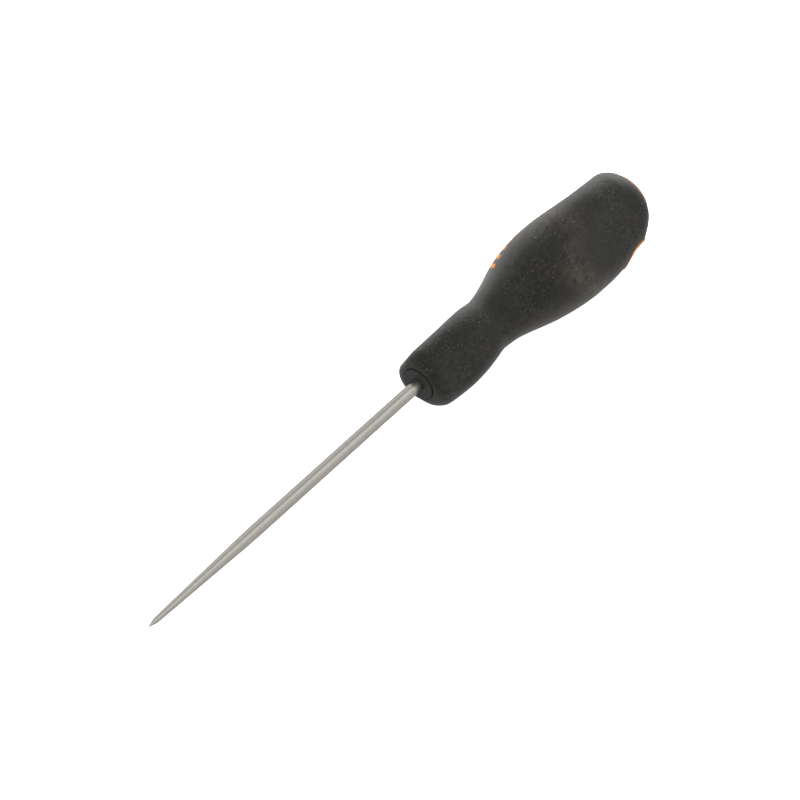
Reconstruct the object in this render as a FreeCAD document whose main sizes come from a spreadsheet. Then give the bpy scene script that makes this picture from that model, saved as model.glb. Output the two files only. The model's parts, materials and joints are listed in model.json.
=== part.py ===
import FreeCAD, Part
import math
import os
import Sketcher

# Scratch awl with a three-sided, three-material handle.
# Working frame of every body: X runs along the tool from the point (X = 0) to
# the butt, +Z leaves through the flat side that carries the coloured marks.
# The shared placement rolls the tool onto its lower flat side and lays it down.

doc = FreeCAD.newDocument("scratch_awl")

# Driving dimensions in millimetres.
DIMS = {
    # blade, measured from the point
    "tip_radius": 0.15,
    "point_length": 2.8,
    "point_radius": 0.9,
    "taper_end": 43.5,
    "shank_radius": 2.0,
    "shank_end": 120.1,
    "nose_x": 120.0,
    # hidden tang, measured from the nose plane like everything below it
    "tang_radius": 1.7,
    "tang_end": 62.0,
    "wing_thickness": 1.0,
    "wing_width": 6.4,
    "wing_length": 7.0,
    "wing_front": 16.0,
    "wing_pitch": 22.0,
    # black inner core, measured from the nose plane
    "disc_front": 0.45,
    "disc_radius": 5.35,
    "lip_depth": 2.0,
    "lip_radius": 5.6,
    "entry_radius": 2.3,
    "entry_depth": 1.0,
    "core_front_radius": 6.4,
    "core_shoulder": 4.0,
    "core_neck_radius": 4.6,
    "core_neck_end": 34.0,
    "core_bulb_start": 50.0,
    "core_bulb_radius": 7.2,
    "core_end": 70.0,
    # coloured shell over the core
    "shell_neck_end": 33.0,
    "shell_bulb_start": 53.0,
    "shell_bulb_radius": 10.6,
    "shell_bulb_end": 82.0,
    "shell_rear_start": 96.5,
    "shell_rear_radius": 9.3,
    "shell_end": 99.4,
    "shell_end_radius": 9.0,
    "socket_start": 95.7,
    "socket_radius": 5.0,
    # hanging hole across the butt
    "hole_x": 90.5,
    "hole_radius": 3.2,
    "hole_land": 3.6,
    "mouth_plane": 16.0,
    "mouth_half_length": 6.1,
    "mouth_half_width": 3.95,
    "lining_half_length": 6.6,
    "lining_half_width": 4.4,
    # clear space cut round the lining and the marks
    "frame_half_width": 30.0,
    "frame_margin": 1.0,
    # coloured marks
    "mark_start": 46.0,
    "mark_pitch": 3.8,
    "mark_width": 1.7,
    "mark_low": 4.3,
    "mark_height": 9.6,
    "mark_slant": 4.8,
    # end cap
    "cap_radius": 9.25,
    "cap_edge_x": 102.35,
    "cap_round_x": 102.95,
    "cap_round_radius": 8.7,
    "cap_crown_x": 103.35,
    "cap_crown_radius": 7.4,
}
MARK_COUNT = 4
WING_PAIRS = 2

# Outer form of the handle: distance behind the nose plane, half height over a
# flat side, and radius over a rounded corner.
STATIONS = [
    (0.8, 5.90, 6.10),
    (1.1, 6.75, 7.45),
    (2.1, 7.75, 9.20),
    (4.3, 8.20, 10.60),
    (8.6, 8.20, 11.10),
    (15.0, 8.25, 11.40),
    (21.0, 8.45, 11.10),
    (26.5, 8.55, 10.35),
    (32.0, 8.15, 9.45),
    (37.5, 8.80, 9.85),
    (43.0, 10.20, 11.00),
    (49.0, 12.15, 12.65),
    (55.0, 13.40, 14.20),
    (61.0, 13.95, 15.35),
    (66.0, 13.80, 16.05),
    (71.0, 13.25, 16.45),
    (77.0, 12.40, 16.50),
    (83.0, 11.80, 16.15),
    (89.0, 11.50, 15.40),
    (94.5, 11.35, 14.40),
    (98.0, 11.40, 12.75),
    (99.9, 11.10, 11.50),
    (101.1, 10.45, 10.60),
    (101.7, 9.60, 9.75),
]
FORM_FIRST = 10
FORM_LAST = 20

# Degrees round the tool, seen from the butt: rounded corners, half the arc of
# one corner, and the roll that puts a flat side underneath.
CORNER_ANGLES = (30.0, 150.0, 270.0)
CORNER_HALF_ARC = 60.0
ROLL_ONTO_FLAT = -60.0


def build_sheet():
    """Write every driving dimension into one spreadsheet."""
    sheet = doc.addObject("Spreadsheet::Sheet", "Dims")
    cells = list(DIMS.items())
    for index, (station, face, lobe) in enumerate(STATIONS):
        cells.append((f"station_{index:02d}", station))
        cells.append((f"face_{index:02d}", face))
        cells.append((f"lobe_{index:02d}", lobe))
    for row, (alias, value) in enumerate(cells, start=1):
        sheet.set(f"A{row}", alias)
        sheet.set(f"B{row}", str(value))
        sheet.setAlias(f"B{row}", alias)
    doc.recompute()


def new_body(label):
    """Empty body whose label names its file."""
    body = doc.addObject("PartDesign::Body", label)
    body.Label = label
    return body


def new_sketch(body, role, name, offsets=()):
    """Sketch on an origin plane, with its offsets bound to the spreadsheet."""
    plane = [item for item in body.Origin.OriginFeatures if item.Role == role][0]
    sketch = body.newObject("Sketcher::SketchObject", name)
    sketch.AttachmentSupport = [(plane, "")]
    sketch.MapMode = "FlatFace"
    for axis, expression in offsets:
        sketch.setExpression(f"AttachmentOffset.Base.{axis}", expression)
    doc.recompute()
    return sketch


def bind(sketch, constraint, name, expression):
    """Add a dimension to a sketch and bind it to an expression."""
    index = sketch.addConstraint(constraint)
    sketch.renameConstraint(index, name)
    sketch.setExpression(f"Constraints.{name}", expression)


def pin_point(sketch, geometry, position, key, spot):
    """Hold one point at (x, y); each is (value, expression) or None for zero."""
    for kind, axis, side in (("DistanceX", -2, spot[0]), ("DistanceY", -1, spot[1])):
        if side is None:
            sketch.addConstraint(Sketcher.Constraint("PointOnObject", geometry, position, axis))
        else:
            limit = Sketcher.Constraint(kind, -1, 1, geometry, position, side[0])
            bind(sketch, limit, f"{key}_{kind[-1].lower()}", side[1])


def cell(alias):
    """Value of a dimension with the expression that reads it."""
    return DIMS[alias], f"Dims.{alias}"


def polygon(sketch, key, corners):
    """Closed chain of lines through corners given as pairs for pin_point."""
    points = [FreeCAD.Vector(x[0] if x else 0.0, y[0] if y else 0.0, 0) for x, y in corners]
    lines = []
    for start, end in zip(points, points[1:] + points[:1]):
        lines.append(sketch.addGeometry(Part.LineSegment(start, end), False))
    for line, following in zip(lines, lines[1:] + lines[:1]):
        sketch.addConstraint(Sketcher.Constraint("Coincident", line, 2, following, 1))
    for index, (line, corner) in enumerate(zip(lines, corners)):
        pin_point(sketch, line, 1, f"{key}{index:02d}", corner)


def half_profile(body, name, aliases, base=None):
    """Profile in the XZ plane; a None radius puts the corner on the axis."""
    offsets = [("x", f"Dims.{base}")] if base else []
    sketch = new_sketch(body, "XZ_Plane", name, offsets)
    corners = []
    for x_alias, r_alias in aliases:
        corners.append((x_alias and cell(x_alias), r_alias and cell(r_alias)))
    polygon(sketch, "p", corners)
    return sketch


def turn(body, sketch, name, kind):
    """Full turn of a half profile round the tool's axis; Revolution or Groove."""
    feature = body.newObject(f"PartDesign::{kind}", name)
    feature.Profile = sketch
    feature.ReferenceAxis = (sketch, ["H_Axis"])
    feature.Angle = 360.0
    sketch.Visibility = False
    doc.recompute()


def cut(body, sketch, name, both_ways=False, upward=True):
    """Pocket through everything above, below or on both sides of its sketch."""
    pocket = body.newObject("PartDesign::Pocket", name)
    pocket.Profile = sketch
    pocket.Type = "ThroughAll"
    pocket.Midplane = both_ways
    pocket.Reversed = upward
    sketch.Visibility = False
    doc.recompute()


def section(body, index):
    """Rounded triangle: three tangent corner arcs joined by three flats.

    A corner's centre is twice as far from the axis as the corner stands above a flat.
    """
    name = f"{body.Label}_section_{index:02d}"
    place = f"Dims.nose_x + Dims.station_{index:02d}"
    sketch = new_sketch(body, "YZ_Plane", name, [("z", place)])
    _, face, lobe = STATIONS[index]
    reach = 2.0 * (lobe - face)
    radius = lobe - reach
    reach_text = f"2 * (Dims.lobe_{index:02d} - Dims.face_{index:02d})"
    angles = [math.radians(value) for value in CORNER_ANGLES]
    half = math.radians(CORNER_HALF_ARC)
    arcs = []
    for angle in angles:
        centre = FreeCAD.Vector(reach * math.cos(angle), reach * math.sin(angle), 0)
        circle = Part.Circle(centre, FreeCAD.Vector(0, 0, 1), radius)
        arcs.append(sketch.addGeometry(Part.ArcOfCircle(circle, angle - half, angle + half)))
    for arc, following in zip(arcs, arcs[1:] + arcs[:1]):
        start = sketch.getPoint(arc, 2)
        end = sketch.getPoint(following, 1)
        line = sketch.addGeometry(Part.LineSegment(start, end))
        sketch.addConstraint(Sketcher.Constraint("Tangent", arc, 2, line, 1))
        sketch.addConstraint(Sketcher.Constraint("Tangent", line, 2, following, 1))
    for arc, angle in zip(arcs[:2], angles[:2]):
        sign = math.copysign(1.0, math.cos(angle))
        across = (sign * reach * math.cos(half / 2), f"{sign} * cos(30) * {reach_text}")
        upward = (reach / 2, f"{reach_text} / 2")
        pin_point(sketch, arc, 3, f"c{arc}", (across, upward))
    pin_point(sketch, arcs[2], 3, "c2", (None, (-reach, f"-1 * {reach_text}")))
    size = Sketcher.Constraint("Radius", arcs[0], radius)
    bind(sketch, size, "corner", f"2 * Dims.face_{index:02d} - Dims.lobe_{index:02d}")
    for arc in arcs[1:]:
        sketch.addConstraint(Sketcher.Constraint("Equal", arcs[0], arc))
    sketch.Visibility = False
    return sketch


def outer_form(body, first, last):
    """Loft of the handle's outer form between two stations."""
    sketches = [section(body, index) for index in range(first, last + 1)]
    loft = body.newObject("PartDesign::AdditiveLoft", "outer_form")
    loft.Profile = sketches[0]
    loft.Sections = sketches[1:]
    loft.Ruled = False
    doc.recompute()


def draw_ellipse(sketch, key):
    """Lining or mouth ellipse on the hanging hole's axis, long axis along the tool."""
    sides = ("length", DIMS[f"{key}_half_length"]), ("width", DIMS[f"{key}_half_width"])
    centre = FreeCAD.Vector(DIMS["hole_x"], 0, 0)
    major = centre + FreeCAD.Vector(sides[0][1], 0, 0)
    minor = centre + FreeCAD.Vector(0, sides[1][1], 0)
    ellipse = sketch.addGeometry(Part.Ellipse(major, minor, centre), False)
    sketch.exposeInternalGeometry(ellipse)
    pin_point(sketch, ellipse, 3, key, (cell("hole_x"), None))
    sketch.addConstraint(Sketcher.Constraint("Horizontal", ellipse + 1))
    for axis, (side, half) in enumerate(sides, start=1):
        limit = Sketcher.Constraint("Distance", ellipse + axis, 2 * half)
        bind(sketch, limit, f"{key}_{side}", f"2 * Dims.{key}_half_{side}")


def draw_circle(sketch, key, alias):
    """Circle on the hanging hole's axis."""
    centre = FreeCAD.Vector(DIMS["hole_x"], 0, 0)
    circle = Part.Circle(centre, FreeCAD.Vector(0, 0, 1), DIMS[alias])
    ring = sketch.addGeometry(circle, False)
    pin_point(sketch, ring, 3, key, (cell("hole_x"), None))
    bind(sketch, Sketcher.Constraint("Radius", ring, DIMS[alias]), "radius", f"Dims.{alias}")


def draw_marks(sketch):
    """Row of slanted bars across the flat side."""
    low = (-DIMS["mark_low"], "-1 * Dims.mark_low")
    high = (DIMS["mark_height"] - DIMS["mark_low"], "Dims.mark_height - Dims.mark_low")
    for index in range(MARK_COUNT):
        left = DIMS["mark_start"] + index * DIMS["mark_pitch"]
        left_text = f"Dims.mark_start + {index} * Dims.mark_pitch"
        right = left + DIMS["mark_width"]
        right_text = f"{left_text} + Dims.mark_width"
        slant = DIMS["mark_slant"]
        corners = [
            ((left, left_text), low),
            ((right, right_text), low),
            ((right + slant, f"{right_text} + Dims.mark_slant"), high),
            ((left + slant, f"{left_text} + Dims.mark_slant"), high),
        ]
        polygon(sketch, f"m{index}_", corners)


def draw_frame(sketch):
    """Rectangle wide enough to clear the whole handle around the marks and hole."""
    margin = DIMS["frame_margin"]
    reach = DIMS["frame_half_width"]
    near_text = f"Dims.station_{FORM_FIRST:02d} - Dims.frame_margin"
    far_text = f"Dims.station_{FORM_LAST:02d} + Dims.frame_margin"
    near = (STATIONS[FORM_FIRST][0] - margin, near_text)
    far = (STATIONS[FORM_LAST][0] + margin, far_text)
    low = (-reach, "-1 * Dims.frame_half_width")
    high = (reach, "Dims.frame_half_width")
    polygon(sketch, "f", [(near, low), (far, low), (far, high), (near, high)])


def plan_sketch(body, name):
    """Empty sketch seen along the hanging hole, origin at the nose plane."""
    return new_sketch(body, "XY_Plane", name, [("x", "Dims.nose_x")])


def draw_wing(sketch, index):
    """One pair of tang wings, seen along their thickness."""
    front = DIMS["wing_front"] + index * DIMS["wing_pitch"]
    front_text = f"Dims.wing_front + {index} * Dims.wing_pitch"
    near = (front, front_text)
    far = (front + DIMS["wing_length"], f"{front_text} + Dims.wing_length")
    low = (-DIMS["wing_width"] / 2, "-1 * Dims.wing_width / 2")
    high = (DIMS["wing_width"] / 2, "Dims.wing_width / 2")
    polygon(sketch, "w", [(near, low), (far, low), (far, high), (near, high)])


def wings(body, name, kind):
    """Both pairs of tang wings, added to a body or cut out of it."""
    for index in range(WING_PAIRS):
        sketch = new_sketch(body, "XZ_Plane", f"{name}_{index}", [("x", "Dims.nose_x")])
        draw_wing(sketch, index)
        feature = body.newObject(f"PartDesign::{kind}", f"{name}_{kind.lower()}_{index}")
        feature.Profile = sketch
        feature.Midplane = True
        feature.setExpression("Length", "Dims.wing_thickness")
        sketch.Visibility = False
        doc.recompute()


def build_blade():
    """Ground point, taper and shank, with the tang and its wings."""
    body = new_body("blade")
    steel = [
        (None, None), (None, "tip_radius"), ("point_length", "point_radius"),
        ("taper_end", "shank_radius"), ("shank_end", "shank_radius"), ("shank_end", None),
    ]
    turn(body, half_profile(body, "blade_profile", steel), "blade_turned", "Revolution")
    tang = [(None, None), (None, "tang_radius"), ("tang_end", "tang_radius"), ("tang_end", None)]
    turn(body, half_profile(body, "tang_profile", tang, "nose_x"), "tang_turned", "Revolution")
    wings(body, "tang_wings", "Pad")
    return body


def build_core():
    """Black inner core: nose disc, neck and bulb, hollowed for the tang."""
    body = new_body("core")
    outline = [
        ("disc_front", None), ("disc_front", "disc_radius"), ("lip_depth", "disc_radius"),
        ("lip_depth", "core_front_radius"), ("core_shoulder", "core_front_radius"),
        ("core_shoulder", "core_neck_radius"), ("core_neck_end", "core_neck_radius"),
        ("core_bulb_start", "core_bulb_radius"), ("core_end", "core_bulb_radius"),
        ("core_end", None),
    ]
    turn(body, half_profile(body, "core_profile", outline, "nose_x"), "core_turned", "Revolution")
    seat = [
        ("disc_front", None), ("disc_front", "entry_radius"), ("entry_depth", "tang_radius"),
        ("tang_end", "tang_radius"), ("tang_end", None),
    ]
    turn(body, half_profile(body, "seat_profile", seat, "nose_x"), "tang_seat", "Groove")
    wings(body, "wing_seats", "Pocket")
    return body


def build_shell():
    """Coloured shell; its marks and hole lining rise to the outer form."""
    body = new_body("colour_shell")
    body.AllowCompound = True
    outer_form(body, FORM_FIRST, FORM_LAST)
    pillars = plan_sketch(body, "pillars")
    draw_frame(pillars)
    draw_marks(pillars)
    draw_ellipse(pillars, "lining")
    cut(body, pillars, "pillars_left", both_ways=True)
    marks = plan_sketch(body, "marks_below")
    draw_marks(marks)
    cut(body, marks, "marks_one_side", upward=False)
    outline = [
        ("core_shoulder", None), ("core_shoulder", "core_front_radius"),
        ("shell_neck_end", "core_front_radius"), ("shell_bulb_start", "shell_bulb_radius"),
        ("shell_bulb_end", "shell_bulb_radius"), ("shell_rear_start", "shell_rear_radius"),
        ("shell_end", "shell_end_radius"), ("shell_end", None),
    ]
    turn(body, half_profile(body, "shell_profile", outline, "nose_x"), "shell_turned", "Revolution")
    hollow = [
        ("core_shoulder", None), ("core_shoulder", "core_neck_radius"),
        ("core_neck_end", "core_neck_radius"), ("core_bulb_start", "core_bulb_radius"),
        ("core_end", "core_bulb_radius"), ("core_end", None),
    ]
    turn(body, half_profile(body, "hollow_profile", hollow, "nose_x"), "core_hollow", "Groove")
    socket = [
        ("socket_start", None), ("socket_start", "socket_radius"),
        ("shell_end", "socket_radius"), ("shell_end", None),
    ]
    turn(body, half_profile(body, "socket_profile", socket, "nose_x"), "cap_socket", "Groove")
    hang_hole(body)
    return body


def hang_hole(body):
    """Round hole with a flared oval mouth at each end."""
    bore = plan_sketch(body, "bore")
    draw_circle(bore, "bore", "hole_radius")
    cut(body, bore, "bore_through", both_ways=True)
    for side, sign in (("top", ""), ("low", "-1 * ")):
        place = [("x", "Dims.nose_x"), ("z", f"{sign}Dims.hole_land")]
        throat = new_sketch(body, "XY_Plane", f"throat_{side}", place)
        draw_circle(throat, "throat", "hole_radius")
        place = [("x", "Dims.nose_x"), ("z", f"{sign}Dims.mouth_plane")]
        rim = new_sketch(body, "XY_Plane", f"mouth_{side}", place)
        draw_ellipse(rim, "mouth")
        flare = body.newObject("PartDesign::SubtractiveLoft", f"flare_{side}")
        flare.Profile = throat
        flare.Sections = [rim]
        throat.Visibility = False
        rim.Visibility = False
        doc.recompute()


def build_grip():
    """Soft over-mould with windows for everything that shows through it."""
    body = new_body("soft_grip")
    outer_form(body, 0, len(STATIONS) - 1)
    inside = [
        (None, None), (None, "lip_radius"), ("lip_depth", "lip_radius"),
        ("lip_depth", "core_front_radius"), ("shell_neck_end", "core_front_radius"),
        ("shell_bulb_start", "shell_bulb_radius"), ("shell_bulb_end", "shell_bulb_radius"),
        ("shell_rear_start", "shell_rear_radius"), ("shell_end", "shell_end_radius"),
        ("shell_end", "cap_radius"), ("cap_crown_x", "cap_radius"), ("cap_crown_x", None),
    ]
    turn(body, half_profile(body, "inside_profile", inside, "nose_x"), "inside", "Groove")
    marks = plan_sketch(body, "mark_windows")
    draw_marks(marks)
    cut(body, marks, "mark_openings")
    mouth = plan_sketch(body, "hole_window")
    draw_ellipse(mouth, "lining")
    cut(body, mouth, "hole_openings", both_ways=True)
    return body


def build_cap():
    """Domed cap with a spigot that plugs into the shell."""
    body = new_body("end_cap")
    outline = [
        ("socket_start", None), ("socket_start", "socket_radius"), ("shell_end", "socket_radius"),
        ("shell_end", "cap_radius"), ("cap_edge_x", "cap_radius"),
        ("cap_round_x", "cap_round_radius"), ("cap_crown_x", "cap_crown_radius"),
        ("cap_crown_x", None),
    ]
    turn(body, half_profile(body, "cap_profile", outline, "nose_x"), "cap_turned", "Revolution")
    return body


def lay_down(bodies):
    """Roll onto a flat side, tip until the point's shoulder touches, rest on Z = 0."""
    heel = DIMS["nose_x"] - DIMS["point_length"]
    slopes = [(face - DIMS["point_radius"]) / (heel + x) for x, face, _ in STATIONS]
    tilt = FreeCAD.Rotation(FreeCAD.Vector(0, 1, 0), -math.degrees(math.atan(max(slopes))))
    roll = FreeCAD.Rotation(FreeCAD.Vector(1, 0, 0), ROLL_ONTO_FLAT)
    turned = tilt.multiply(roll)
    box = FreeCAD.BoundBox()
    for body in bodies:
        shape = body.Shape.copy()
        shape.Placement = FreeCAD.Placement(FreeCAD.Vector(), turned)
        box.add(shape.optimalBoundingBox(True))
    shift = FreeCAD.Vector(-box.Center.x, -box.Center.y, -box.ZMin)
    for body in bodies:
        body.Placement = FreeCAD.Placement(shift, turned)
    doc.recompute()


def write_parts(bodies):
    """Write one STEP file per body once everything has recomputed cleanly."""
    for item in doc.Objects:
        if "Invalid" in item.State or "Error" in item.State:
            raise RuntimeError(f"{item.Name} did not recompute: {item.State}")
    os.makedirs("parts", exist_ok=True)
    for body in bodies:
        shape = body.Shape
        if shape.isNull() or not shape.isValid() or len(shape.Solids) != 1:
            raise RuntimeError(f"{body.Label} is not one valid solid")
        shape.exportStep(f"parts/{body.Label}.step")
        box = shape.optimalBoundingBox(True)
        print(f"{body.Label}: {shape.Volume:.1f} mm3, X {box.XMin:.2f} to {box.XMax:.2f}, "
              f"Y {box.YMin:.2f} to {box.YMax:.2f}, Z {box.ZMin:.2f} to {box.ZMax:.2f}")


build_sheet()
PARTS = [build_blade(), build_core(), build_shell(), build_grip(), build_cap()]
lay_down(PARTS)
write_parts(PARTS)
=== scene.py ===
import json
import logging
import math
from dataclasses import dataclass, field
from enum import Enum
from typing import Any, Sequence

import bmesh
import bpy
from mathutils import Matrix, Vector


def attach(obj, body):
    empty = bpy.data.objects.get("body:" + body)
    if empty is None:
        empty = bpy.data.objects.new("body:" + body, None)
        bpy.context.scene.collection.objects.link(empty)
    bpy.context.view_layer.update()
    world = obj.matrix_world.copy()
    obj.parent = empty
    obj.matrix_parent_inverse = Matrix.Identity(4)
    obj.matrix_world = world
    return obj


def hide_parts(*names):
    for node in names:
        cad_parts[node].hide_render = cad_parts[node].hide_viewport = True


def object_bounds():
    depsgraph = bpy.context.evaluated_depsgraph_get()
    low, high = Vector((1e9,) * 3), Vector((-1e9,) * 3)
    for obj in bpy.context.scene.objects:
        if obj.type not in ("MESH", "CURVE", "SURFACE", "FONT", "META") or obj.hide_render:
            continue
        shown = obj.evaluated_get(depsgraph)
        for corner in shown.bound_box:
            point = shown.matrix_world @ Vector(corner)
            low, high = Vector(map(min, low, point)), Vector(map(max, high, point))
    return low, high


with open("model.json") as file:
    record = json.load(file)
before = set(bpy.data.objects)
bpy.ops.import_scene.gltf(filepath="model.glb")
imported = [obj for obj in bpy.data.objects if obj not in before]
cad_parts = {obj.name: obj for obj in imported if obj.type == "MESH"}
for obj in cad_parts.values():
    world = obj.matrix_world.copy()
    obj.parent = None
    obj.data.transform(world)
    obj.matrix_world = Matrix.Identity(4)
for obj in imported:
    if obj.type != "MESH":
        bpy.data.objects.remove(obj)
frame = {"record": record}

LOG = logging.getLogger("scratch_awl")
CAD_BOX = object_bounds()
MM = 0.001
FULL_TURN = 2.0 * math.pi
OVAL_COUNT = 96
SHARP_DEG = 34.0
CREST = "crest"

Point = tuple[float, float, float]
Spot = tuple[float, float]
Colour = tuple[float, float, float]


class Slot(Enum):
    """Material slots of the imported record."""

    STEEL = "steel"
    BLACK_PLASTIC = "black_plastic"
    ORANGE = "orange_plastic"
    RUBBER = "black_rubber"


class Join(Enum):
    """Ways of combining two closed solids."""

    CUT = "DIFFERENCE"
    KEEP = "INTERSECT"
    ADD = "UNION"


# ---------------------------------------------------------------- profiles
def rounded(points: Sequence[Spot], radii: Sequence[float], steps: int = 5) -> list[Spot]:
    """Round the corners of an open profile.

    Args:
        points: corners of the profile, ends included.
        radii: how far from each corner its rounding starts; zero leaves it sharp.
        steps: number of spans in each rounding.

    Returns:
        The profile with every rounded corner replaced by a short curve.
    """
    result: list[Spot] = [points[0]]
    for index in range(1, len(points) - 1):
        corner, reach = Vector(points[index]), radii[index]
        if reach <= 0.0:
            result.append(points[index])
            continue
        start = corner + (Vector(points[index - 1]) - corner).normalized() * reach
        end = corner + (Vector(points[index + 1]) - corner).normalized() * reach
        for step in range(steps + 1):
            t = step / steps
            spot = start * (1 - t) ** 2 + corner * 2 * t * (1 - t) + end * t * t
            result.append((spot.x, spot.y))
    return result + [points[-1]]


def divided(points: Sequence[Spot], step: float) -> list[Spot]:
    """Divide the long spans of a profile.

    Args:
        points: the profile.
        step: longest span wanted.

    Returns:
        The same profile with more points on its long spans.
    """
    result = [points[0]]
    for (x0, r0), (x1, r1) in zip(points, points[1:]):
        spans = max(1, math.ceil(math.hypot(x1 - x0, r1 - r0) / step))
        result += [(x0 + (x1 - x0) * i / spans, r0 + (r1 - r0) * i / spans) for i in range(1, spans + 1)]
    return result


def turns(count: int) -> list[float]:
    """Equally spaced directions round a full turn, in radians."""
    return [FULL_TURN * index / count for index in range(count)]


def oval(centre: float, half_length: float, half_width: float) -> list[Spot]:
    """Outline of an oval with its long axis along the tool."""
    return [(centre + half_length * math.cos(turn), half_width * math.sin(turn))
            for turn in turns(OVAL_COUNT)]


def bar(corners: Sequence[Spot], radius: float) -> list[Spot]:
    """Outline of a four-sided bar with rounded corners."""
    loop = [corners[-1], *corners, corners[0]]
    return rounded(loop, [radius] * len(loop))[1:-1]


def circle(x: float, radius: float, count: int) -> list[Point]:
    """Ring about the tool's axis, or its centre where the radius is zero.

    Args:
        x: distance behind the nose.
        radius: radius of the ring.
        count: number of points on it.

    Returns:
        The points in order round the axis.
    """
    if radius <= 0.0:
        return [(x, 0.0, 0.0)]
    return [(x, radius * math.cos(turn), radius * math.sin(turn)) for turn in turns(count)]


# ----------------------------------------------------------------- geometry
class Solid:
    """A closed mesh under construction, in millimetres in the tool's own axes."""

    def __init__(self, name: str, build: bmesh.types.BMesh) -> None:
        """Take over a finished bmesh and turn its faces outward.

        Args:
            name: name of the piece.
            build: the closed mesh, which is freed.
        """
        bmesh.ops.recalc_face_normals(build, faces=build.faces)
        mesh = bpy.data.meshes.new(name)
        build.to_mesh(mesh)
        build.free()
        self.item = bpy.data.objects.new(name, mesh)
        bpy.context.scene.collection.objects.link(self.item)

    @classmethod
    def skinned(cls, name: str, rings: Sequence[Sequence[Point]], looped: bool = False) -> "Solid":
        """Skin a run of equally divided rings.

        Args:
            name: name of the piece.
            rings: rings in order; a ring of one point is a pole.
            looped: join the last ring to the first instead of closing both ends.

        Returns:
            The closed solid.
        """
        build = bmesh.new()
        rows = [[build.verts.new(point) for point in ring] for ring in rings]
        pairs = list(zip(rows, rows[1:])) + ([(rows[-1], rows[0])] if looped else [])
        for low, high in pairs:
            cls._strip(build, low, high)
        if not looped:
            for row in (rows[0], rows[-1]):
                if len(row) > 1:
                    build.faces.new(row)
        return cls(name, build)

    @staticmethod
    def _strip(build: bmesh.types.BMesh, low: Sequence[bmesh.types.BMVert],
               high: Sequence[bmesh.types.BMVert]) -> None:
        """Join two rows of vertices by quads, or by a fan at a pole.

        Args:
            build: the mesh that holds them.
            low: one row, or one vertex where it is a pole.
            high: the next row, or one vertex where it is a pole.
        """
        count = max(len(low), len(high))
        for index in range(count):
            after = (index + 1) % count
            if len(low) == 1:
                build.faces.new((low[0], high[after], high[index]))
            elif len(high) == 1:
                build.faces.new((low[index], low[after], high[0]))
            else:
                build.faces.new((low[index], low[after], high[after], high[index]))

    @classmethod
    def turned(cls, name: str, profile: Sequence[Spot], count: int = 128) -> "Solid":
        """Turn a profile of (distance along the tool, radius) about the tool's axis."""
        return cls.skinned(name, [circle(x, radius, count) for x, radius in profile])

    @classmethod
    def prism(cls, name: str, outline: Sequence[Spot], low: float, high: float,
              sideways: bool = False) -> "Solid":
        """Extrude an outline.

        Args:
            name: name of the piece.
            outline: closed outline, first value along the tool.
            low: where the extrusion starts.
            high: where it ends.
            sideways: extrude along y instead of z.

        Returns:
            The closed solid.
        """
        rings = []
        for level in (low, high):
            rings.append([(x, level, v) if sideways else (x, v, level) for x, v in outline])
        return cls.skinned(name, rings)

    def combine(self, other: "Solid", join: Join) -> "Solid":
        """Combine with another solid, which is used up.

        Args:
            other: the second solid.
            join: how they combine.

        Returns:
            This solid, changed.
        """
        modifier = self.item.modifiers.new(join.name.lower(), "BOOLEAN")
        modifier.operation = join.value
        modifier.object = other.item
        modifier.solver = "EXACT"
        graph = bpy.context.evaluated_depsgraph_get()
        result = bpy.data.meshes.new_from_object(self.item.evaluated_get(graph))
        self.item.modifiers.clear()
        spent = self.item.data
        result.name = spent.name + "_cut"
        self.item.data = result
        bpy.data.meshes.remove(spent)
        bpy.data.objects.remove(other.item)
        return self

    def finished(self, tool: Matrix, finish: bpy.types.Material, slot: Slot,
                 node: str) -> bpy.types.Object:
        """Scale, place and dress the piece, hang it on the root body and hide its CAD node.

        Args:
            tool: the tool's axes in the row frame.
            finish: the material.
            slot: the record's material slot; not used.
            node: the CAD node that the piece stands for.

        Returns:
            The piece, riding on the root body.
        """
        mesh = self.item.data
        mesh.transform(tool @ Matrix.Scale(MM, 4))
        mesh.shade_smooth()
        mesh.set_sharp_from_angle(angle=math.radians(SHARP_DEG))
        mesh.materials.clear()
        mesh.materials.append(finish)
        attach(self.item, "root")
        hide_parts(node)
        return self.item


def tool_axes(record: dict[str, Any], hole_x: float) -> Matrix:
    """Read the tool's axes from the record's mounts.

    Args:
        record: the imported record.
        hole_x: distance of the hanging hole behind the nose, in millimetres.

    Returns:
        Placement whose origin is the centre of the nose plane, with x towards the butt
        and z along the hanging hole.
    """
    mounts = {mount["name"]: mount for mount in record["mounts"]}
    along = -Vector(mounts["shank"]["axis"]).normalized()
    upward = Vector(mounts["hanging_hole"]["axis"]).normalized()
    matrix = Matrix((along, upward.cross(along), upward)).transposed().to_4x4()
    matrix.translation = Vector(mounts["hanging_hole"]["pos_m"]) - along * hole_x * MM
    return matrix


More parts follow.
